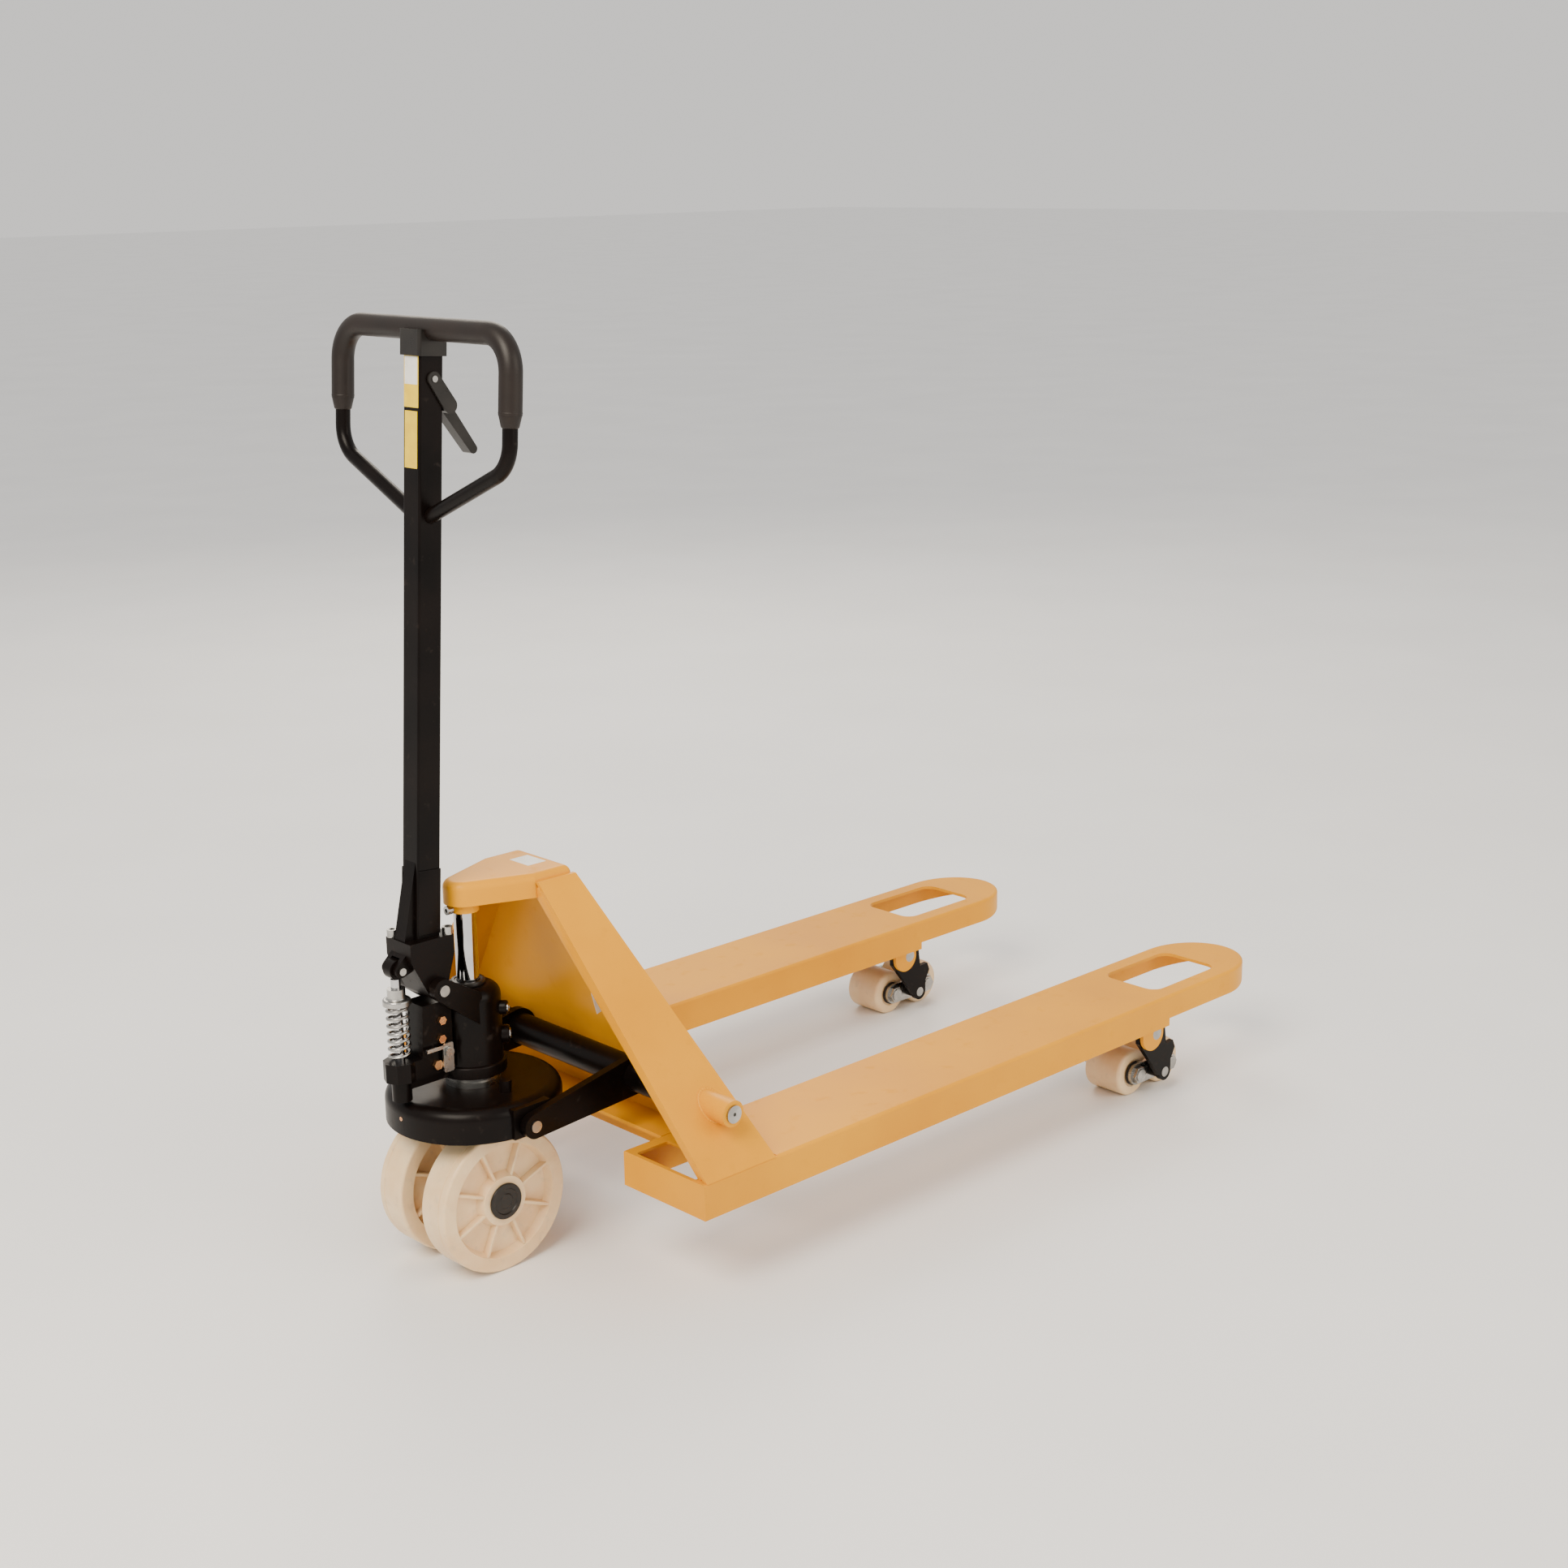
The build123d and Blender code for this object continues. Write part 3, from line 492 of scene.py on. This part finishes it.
# A dust cap's end face, from its rim to its middle: each step is (inwards, outwards).
CAP_STEPS = ((0.005, 0), (0.0012, -0.0016), (0.0065, 0), (0.0012, 0.0010), (0.004, 0))


def groove(piece, centre, y, width, depth, radius):
    """Cuts a V round a drum that lies along Y."""
    bpy.ops.object.mode_set(mode="EDIT")
    for place in (y - width / 2, y, y + width / 2):
        bpy.ops.mesh.select_all(action="SELECT")
        bpy.ops.mesh.bisect(plane_co=(0, place, 0), plane_no=(0, 1, 0))
    bpy.ops.mesh.select_mode(type="VERT")
    bpy.ops.mesh.select_all(action="DESELECT")
    mesh = bmesh.from_edit_mesh(piece.data)
    for vertex in mesh.verts:
        vertex.select_set(abs(vertex.co.y - y) < width / 8)
    mesh.select_flush_mode()
    bmesh.update_edit_mesh(piece.data)
    shrink = 1 - depth / radius
    bpy.ops.transform.resize(value=(shrink, 1, shrink), center_override=(centre.x, y, centre.z))
    bpy.ops.object.mode_set(mode="OBJECT")


def steering_wheel(centre, radius, width, outward):
    wheel = drum(radius, width, centre, ACROSS)
    soften(wheel, WHEEL_ROUND, 4)
    seam_y = centre.y + outward * (width / 2 - SEAM_INSET)
    groove(wheel, centre, seam_y, SEAM_WIDTH, SEAM_DEPTH, radius)
    web = radius - WHEEL_ROUND - RIM - 2 * WEB_SLOPE - HUB_RADIUS
    down = (WEB_SLOPE, -WEB_DEPTH)
    up = (WEB_SLOPE, WEB_DEPTH)
    steps = ((RIM, 0), down, (web, 0), up, (HUB_RADIUS - BORE_RADIUS, 0))
    for end in (1, -1):
        step_cap(wheel, (0, end, 0), steps)
    bridge_middles(wheel, centre, (0, 1, 0), BORE_RADIUS / 4)
    ribs = []
    reach = (HUB_RADIUS + radius - RIM) / 2
    for end in (1, -1):
        for number in range(RIBS):
            angle = 2 * pi * (number + 0.5) / RIBS
            rib_y = end * (width / 2 - WEB_DEPTH * RIB_SINK)
            place = centre + Vector((reach * cos(angle), rib_y, -reach * sin(angle)))
            rib = block((radius - RIM - HUB_RADIUS, WEB_DEPTH, RIB_THICK), place, (0, angle, 0))
            soften(rib, 0.0012, 2)
            ribs.append(rib)
    return join([wheel] + ribs)


def hub_cap(side, sign):
    node = side + "_hub_cap"
    thick = size(node).y
    cap = drum(size(node).x / 2, thick, middle(node), ACROSS)
    soften(cap, 0.0014, 3)
    step_cap(cap, (0, sign, 0), CAP_STEPS)
    return deliver(cap, side + "_dust_cap", side + "_wheel", "black_plastic", replaces=(node,))


for side, sign in SIDES:
    node = side + "_steering_wheel"
    wheel = steering_wheel(middle(node), size(node).x / 2, size(node).y, sign)
    deliver(wheel, side + "_ribbed_wheel", side + "_wheel", "nylon", replaces=(node,))
    hub_cap(side, sign)

# %% [markdown]
# The load rollers are turned from nylon bar: a wide tread with a generous round at each end
# and a shallow seat round the axle.

# %% Load rollers
AXLE_SEAT = 0.0105
SEAT_RADIUS = 0.021
SEAT_DEPTH = 0.0015
ROLLER_ROUND = 0.006


def load_roller(node):
    centre = middle(node)
    radius = size(node).x / 2
    roller = drum(radius, size(node).y, centre, ACROSS)
    soften(roller, ROLLER_ROUND, 5)
    wall = radius - ROLLER_ROUND - SEAT_RADIUS - SEAT_DEPTH
    steps = ((wall, 0), (SEAT_DEPTH, -SEAT_DEPTH), (SEAT_RADIUS - AXLE_SEAT, 0))
    for end in (1, -1):
        step_cap(roller, (0, end, 0), steps)
    bridge_middles(roller, centre, (0, 1, 0), AXLE_SEAT / 4)
    return roller


for side, sign in SIDES:
    for end in ("rear", "front"):
        node = side + "_" + end + "_roller"
        deliver(load_roller(node), side + "_" + end + "_tread", node, "nylon", replaces=(node,))

# %% [markdown]
# The return spring is a round wire wound up round the plunger. One small circle and a Screw
# modifier wind it.

# %% Return spring
WIRE = 0.002
TURNS = 7
STEPS_PER_TURN = 36
spring_low, spring_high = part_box("plunger_spring")
spring_middle = middle("plunger_spring")
coil_radius = (spring_high[0] - spring_low[0]) / 2 - WIRE
begin()
bpy.ops.mesh.primitive_circle_add(vertices=14, radius=WIRE, fill_type="NGON", rotation=ACROSS,
                                  location=(coil_radius, 0, 0))
spring = settle()
winding = spring.modifiers.new("winding", "SCREW")
winding.angle = 2 * pi * TURNS
winding.screw_offset = spring_high[2] - spring_low[2] - 2 * WIRE
winding.steps = STEPS_PER_TURN * TURNS
winding.render_steps = STEPS_PER_TURN * TURNS
winding.use_merge_vertices = True
bpy.ops.object.modifier_apply(modifier=winding.name)
spring.location = (spring_middle.x, 0, spring_low[2] + WIRE)
settle()
bpy.ops.object.mode_set(mode="EDIT")
bpy.ops.mesh.select_all(action="SELECT")
bpy.ops.mesh.remove_doubles(threshold=1e-5)
bpy.ops.mesh.normals_make_consistent(inside=False)
bpy.ops.object.mode_set(mode="OBJECT")
deliver(spring, "return_spring", "pump", "bright_steel", replaces=("plunger_spring",))
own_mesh(spring)

# %% [markdown]
# The grips were dipped, so they end in a soft tapered cuff round the tube. Each cuff is a
# cone along the tube's own leaning line, with its edges rounded.

# %% Grip cuffs
loop_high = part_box("handle_loop")[1]
grip_low, grip_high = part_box("grip_sleeve")
TUBE_RADIUS = 0.0095
GRIP_RADIUS = 0.0145
CUFF = 0.020
CUFF_THIN = 0.0108
CUFF_THICK = 0.0152
CUFF_DROP = CUFF * 0.2
tube_y = loop_high[1] - TUBE_RADIUS


def bar_x_at(z):
    """How far along X the loop's leaning bars lie at height z."""
    top = grip_high[2] - GRIP_RADIUS
    return grip_high[0] - GRIP_RADIUS - (top - z) * sin(LEAN) / cos(LEAN)


for side, sign in SIDES:
    z = grip_low[2] - CUFF_DROP
    begin()
    place = (bar_x_at(z), sign * tube_y, z)
    bpy.ops.mesh.primitive_cone_add(vertices=64, radius1=CUFF_THIN, radius2=CUFF_THICK, depth=CUFF,
                                    location=place, rotation=(0, LEAN, 0))
    cuff = settle()
    soften(cuff, 0.0022, 4, 30)
    deliver(cuff, side + "_grip_cuff", "handle", "grip_rubber")

# %% [markdown]
# Blank label films sit on the front face of the post and on the head. A film is a thin
# block with rounded edges, laid against the leaning post.

# %% Labels
POST_HALF = 0.0175
POST_TOP = 1.238
FILM = 0.0006
HEAD_LABEL = (0.030, 0.040, FILM)
HEAD_LABEL_BACK = 0.030
# Each label: its name, lower edge, upper edge, width, film and how far it stands proud.
POST_LABELS = (
    ("upper_label", 1.144, 1.213, 0.030, label_yellow, 0.0),
    ("upper_label_panel", 1.172, 1.206, 0.0262, label_white, 0.0004),
    ("lower_label", 1.070, 1.140, 0.026, label_yellow, 0.0),
)
post_top_x = bar_x_at(POST_TOP)


def post_x_at(z):
    """How far along X the middle of the leaning post lies at height z."""
    return post_top_x - (POST_TOP - z) * sin(LEAN) / cos(LEAN)


def film_block(sizes, place, rotation=(0, 0, 0)):
    label = block(sizes, place, rotation)
    soften(label, 0.0002, 1)
    return label


def post_label(name, z_low, z_high, width, material, proud):
    z = (z_low + z_high) / 2
    x = post_x_at(z) - (POST_HALF + FILM / 2 + proud) / cos(LEAN)
    label = film_block((FILM, width, z_high - z_low), (x, 0, z), (0, LEAN, 0))
    deliver(label, name, "handle", "black_plastic", material)


for label in POST_LABELS:
    post_label(*label)
head_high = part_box("head_casting")[1]
plate_label = film_block(HEAD_LABEL, (head_high[0] - HEAD_LABEL_BACK, 0.0, head_high[2] + 0.0001))
deliver(plate_label, "head_label", "fork_frame", "yellow_paint", label_white)

# %% [markdown]
# A bead on each face of a side plate welds its foot to the fork. A bead is a row of small
# overlapping ripples, so it is a thin drum grown ring by ring, each ring a little fatter or
# thinner than the last, and painted with the sheet.

# %% Weld beads
RIPPLE = 0.0022
RIPPLE_GROWTH = 1.30
BEAD_RADIUS = 0.0022
BEAD_LIFT = 0.0008
BEAD_INSET = 0.0030
BEAD_SPACING = 0.009
BEAD_REAR_GAP = 0.008
BEAD_FRONT_GAP = 0.003


def weld_bead(start, end, radius):
    start = Vector(start)
    run = Vector(end) - start
    count = max(4, int(run.length / RIPPLE))
    step = run / count
    turn = run.to_track_quat("Z", "Y").to_euler()
    bead = drum(radius * 0.7, step.length, start + step / 2, turn, 12)
    way = run.normalized()
    choose_faces(bead, lambda c, n: n @ way > 0.99)
    for number in range(count - 1):
        bpy.ops.mesh.extrude_region_move(TRANSFORM_OT_translate={"value": step})
        grow = RIPPLE_GROWTH if number % 2 == 0 else 1 / RIPPLE_GROWTH
        bpy.ops.transform.resize(value=(grow, grow, grow), center_override=start + step * (number + 2))
    bpy.ops.object.mode_set(mode="OBJECT")
    return bead


for side, sign in SIDES:
    plate_low, plate_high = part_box(side + "_side_plate")
    foot_z = plate_low[2] + BEAD_LIFT
    foot_y = plate_high[1] if sign > 0 else plate_low[1]
    edge = foot_y - sign * BEAD_INSET
    rear_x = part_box(side + "_fork")[0][0] + BEAD_REAR_GAP
    front_x = plate_high[0] - BEAD_FRONT_GAP
    beads = []
    for y in (edge, edge - sign * BEAD_SPACING):
        beads.append(weld_bead((rear_x, y, foot_z), (front_x, y, foot_z), BEAD_RADIUS))
    deliver(join(beads), side + "_foot_weld", "fork_frame", "yellow_paint")

# %% [markdown]
# The front edge of each side plate is folded inwards, which stiffens it. The fold is a long
# thin block laid along the leaning edge, with its outer corner rounded.

# %% Folded edges of the side plates
FOLD = 0.016
SHEET = 0.004
FOLD_CLEAR = 0.007
HEAD_TO_FOOT = 0.036 + SHEET


def folded_edge(side, sign):
    low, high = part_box(side + "_side_plate")
    outer_foot = high[1] if sign > 0 else -low[1]
    plate_in = min(abs(low[1]), abs(high[1]))
    foot_edge = Vector((low[0] + HEAD_TO_FOOT, sign * (outer_foot - FOLD_CLEAR), low[2] + FOLD_CLEAR))
    top_edge = Vector((low[0] + SHEET, sign * (plate_in + SHEET / 2), high[2] - FOLD_CLEAR))
    run = top_edge - foot_edge
    along = run.normalized()
    inwards = Vector((0, -sign, 0))
    inwards = (inwards - along * (inwards @ along)).normalized()
    facing = along.cross(inwards)
    place = (top_edge + foot_edge) / 2 + inwards * FOLD / 2
    lie = Matrix((inwards, facing, along)).transposed().to_euler()
    strip = block((FOLD, SHEET, run.length), place, lie)
    soften(strip, 0.0016, 4)
    return deliver(strip, side + "_plate_fold", "fork_frame", "yellow_paint")


for side, sign in SIDES:
    folded_edge(side, sign)

# %% [markdown]
# A ring of black rubber wipes the piston where it enters the pump. It is a drum stepped in
# at the top and bridged into a collar that clears the piston.

# %% Piston wiper
piston = middle("lift_piston")
PUMP_TOP = 0.386
WIPER_RADIUS = 0.0225
WIPER_HEIGHT = 0.006
WIPER_ROUND = 0.0012
LIP = 0.0028
LIP_DROP = 0.0010
PISTON_CLEAR = 0.0155
wiper_centre = Vector((piston.x, 0, PUMP_TOP + WIPER_HEIGHT / 2))
wiper = drum(WIPER_RADIUS, WIPER_HEIGHT, wiper_centre)
soften(wiper, WIPER_ROUND, 3)
wiper_flat = WIPER_RADIUS - WIPER_ROUND - PISTON_CLEAR
step_cap(wiper, (0, 0, 1), ((LIP, 0), (LIP_DROP, -LIP_DROP), (wiper_flat - LIP - LIP_DROP, 0)))
step_cap(wiper, (0, 0, -1), ((wiper_flat, 0),))
bridge_middles(wiper, wiper_centre, (0, 0, 1), PISTON_CLEAR / 4)
deliver(wiper, "piston_wiper", "pump", "black_plastic")

# %% [markdown]
# The pivot boss goes through the leaning side plate, so the weld round it is an oval. It is a
# ring laid in the plate's plane and stretched down the slope, and every other stretch of the
# ring is drawn in a little, as the ripples of a hand weld are.

# %% Welds round the pivot bosses
BOSS_OUT = 0.042
BOSS_RADIUS = 0.018
RING_STEPS = 72
RING_BEAD = 0.0026
RING_RIPPLE = 0.0006


def boss_weld(side, sign):
    low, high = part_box(side + "_side_plate")
    foot_y = high[1] if sign > 0 else -low[1]
    head_y = min(abs(low[1]), abs(high[1]))
    slope = Vector((0, foot_y - head_y, low[2] - high[2]))
    stretch = slope.length / abs(slope.z)
    boss = middle("pivot_bosses")
    centre = Vector((boss.x, sign * (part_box("pivot_bosses")[1][1] - BOSS_OUT), boss.z))
    lean = slope.angle(Vector((0, 0, -1)))
    begin()
    bpy.ops.mesh.primitive_torus_add(major_segments=RING_STEPS, minor_segments=12,
                                     major_radius=BOSS_RADIUS, minor_radius=RING_BEAD)
    bpy.context.object.scale = (1, stretch, 1)
    settle()
    bpy.ops.object.mode_set(mode="EDIT")
    bpy.ops.mesh.select_mode(type="VERT")
    ring = bpy.context.object
    mesh = bmesh.from_edit_mesh(ring.data)
    for vertex in mesh.verts:
        angle = vertex.co.xy.angle_signed(Vector((1, 0))) + pi
        vertex.select_set(int(angle / (2 * pi) * RING_STEPS + 0.5) % 2 == 0)
    mesh.select_flush_mode()
    bmesh.update_edit_mesh(ring.data)
    bpy.ops.transform.shrink_fatten(value=-RING_RIPPLE)
    bpy.ops.object.mode_set(mode="OBJECT")
    ring.rotation_euler = (sign * (lean - pi / 2), 0, 0)
    ring.location = centre
    settle()
    return deliver(ring, side + "_boss_weld", "fork_frame", "yellow_paint")


for side, sign in SIDES:
    boss_weld(side, sign)

# %% [markdown]
# The pump is one iron casting with small round bosses where its oil ways were drilled, each
# closed by a steel plug with a round recess. A boss points straight out from the piston.

# %% Bosses and plugs on the pump
PUMP_RADIUS = 0.042
BOSS_LENGTH = 0.018
PLUG_LENGTH = 0.006
PLUG_OUT = 0.0078
PLUG_SHARE = 0.62
RECESS_SHARE = 0.24
# Each boss: its name, heading from +X in degrees, height and radius.
BOSSES = (("upper", -48, 0.352, 0.0095), ("lower", -38, 0.312, 0.0120), ("rear", 52, 0.330, 0.0105))


def pump_boss(name, heading, height, radius):
    out = Vector((cos(radians(heading)), sin(radians(heading)), 0))
    facing = out.to_track_quat("Z", "Y").to_euler()
    centre = Vector((piston.x, 0, height)) + out * PUMP_RADIUS
    boss = drum(radius, BOSS_LENGTH, centre, facing, 64)
    soften(boss, 0.0022, 4)
    step_cap(boss, out, ((0.0018, 0), (0.0008, -0.0012)))
    deliver(boss, name + "_pump_boss", "pump", "black_paint")
    plug = drum(radius * PLUG_SHARE, PLUG_LENGTH, centre + out * PLUG_OUT, facing, 48)
    soften(plug, 0.0008, 3)
    step_cap(plug, out, ((radius * RECESS_SHARE, 0), (0.0004, -0.0022)))
    deliver(plug, name + "_pump_plug", "pump", "bright_steel")


for boss in BOSSES:
    pump_boss(*boss)

# %% [markdown]
# Small things finish the frame: a blank film on the bulkhead, a stiffening rib and a sunk pan
# in each open heel, a brass plug in the carrier's rim and two cheeks at the foot of the post.

# %% Small fittings
bulk_low, bulk_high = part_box("bulkhead")
BULKHEAD_RUN = 0.094
BULKHEAD_SLOPE = BULKHEAD_RUN / size("left_side_plate").z
LABEL_Z = 0.345
LABEL_Y = -0.075
face_x = bulk_low[0] + (bulk_high[2] - LABEL_Z) * BULKHEAD_SLOPE
bulk_turn = Vector((-BULKHEAD_SLOPE, 0, 1)).to_track_quat("Z", "Y").to_euler()
film_piece = film_block((FILM, 0.052, 0.040), (face_x - 0.0002, LABEL_Y, LABEL_Z), bulk_turn)
deliver(film_piece, "bulkhead_label", "fork_frame", "yellow_paint", label_white)

HEEL_DEPTH = 0.0475
HEEL_RIB = (0.044, 0.004, 0.034)
HEEL_RIB_BACK = 0.028
HEEL_RIB_OUT = 0.046
HEEL_RIB_DOWN = 0.025
PAN_LENGTH = 0.062
PAN_SIDES = 0.011
PAN_THICK = 0.003
PAN_BACK = 0.036
for side, sign in SIDES:
    fork_low, fork_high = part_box(side + "_fork")
    fork_middle = middle(side + "_fork").y
    rib_y = fork_middle + sign * HEEL_RIB_OUT
    rib = block(HEEL_RIB, (fork_low[0] + HEEL_RIB_BACK, rib_y, fork_high[2] - HEEL_RIB_DOWN))
    soften(rib, 0.0012, 3)
    deliver(rib, side + "_heel_rib", "fork_frame", "yellow_paint")
    heel_middle = Vector((fork_low[0] + PAN_BACK, fork_middle, fork_high[2] - HEEL_DEPTH))
    pan = block((PAN_LENGTH, size(side + "_fork").y - PAN_SIDES, PAN_THICK), heel_middle)
    soften(pan, 0.0008, 2)
    step_cap(pan, (0, 0, 1), ((0.004, 0), (0.001, -0.0006)))
    deliver(pan, side + "_heel_pan", "fork_frame", "yellow_paint")

carrier_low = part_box("carrier")[0]
PLUG_Z = 0.228
PLUG_RADIUS = 0.0030
PLUG_IN = 0.0026
plug = drum(PLUG_RADIUS, PLUG_LENGTH, (carrier_low[0] + PLUG_IN, 0, PLUG_Z), (0, -pi / 2, 0), 32)
soften(plug, 0.0006, 2)
step_cap(plug, (-1, 0, 0), ((0.0010, 0), (0.0003, -0.0008)))
deliver(plug, "carrier_plug", "carrier", "brass")

CHEEK_LOW = 0.474
CHEEK_HIGH = 0.560
CHEEK = 0.0016
CHEEK_WIDTH = 0.0342
cheek_z = (CHEEK_LOW + CHEEK_HIGH) / 2
cheek_x = post_x_at(cheek_z)
for side, sign in SIDES:
    place = (cheek_x, sign * (POST_HALF + CHEEK / 2), cheek_z)
    cheek = block((CHEEK_WIDTH, CHEEK, CHEEK_HIGH - CHEEK_LOW), place, (0, LEAN, 0))
    soften(cheek, 0.0007, 3)
    deliver(cheek, side + "_post_cheek", "handle", "black_paint")

# %% [markdown]
# The studio is a large pale floor and three soft lamps: a broad one high on the camera's
# left, a weaker one on its right, and one from behind that draws the top edges.

# %% Floor and lights
begin()
bpy.ops.mesh.primitive_plane_add(size=90, location=(0, 0, 0))
floor = bpy.context.object
floor.name = "floor"
pale = Finish("pale_floor")
patches = pale.spread(pale.noise(2.0), 0.3, 0.7)
tone = pale.blend(patches, colour(0.86, 0.86, 0.86), colour(0.90, 0.90, 0.90))
floor.data.materials.append(pale.shade({"Base Color": tone, "Roughness": 0.7}))

AIM = Vector((0, 0, 0.4))
LAMP_COLOUR = (1.0, 0.90, 0.76)


def lamp(name, place, watts, width):
    light = bpy.data.lights.new(name, "AREA")
    light.energy = watts
    light.color = LAMP_COLOUR
    light.size = width
    holder = bpy.data.objects.new(name, light)
    bpy.context.collection.objects.link(holder)
    turn = (AIM - Vector(place)).to_track_quat("-Z", "Y").to_matrix().to_4x4()
    holder.matrix_world = Matrix.Translation(place) @ turn


lamp("key", (-3.2, -1.0, 3.6), 230, 2.2)
lamp("fill", (1.0, -4.2, 2.4), 90, 3.0)
lamp("back", (2.2, 3.4, 3.4), 110, 2.4)
world = bpy.data.worlds.new("studio")
bpy.context.scene.world = world
world.use_nodes = True
world.node_tree.nodes["Background"].inputs["Color"].default_value = colour(1.0, 0.975, 0.94)
world.node_tree.nodes["Background"].inputs["Strength"].default_value = 0.9

# %% Leave object mode with nothing selected
begin()
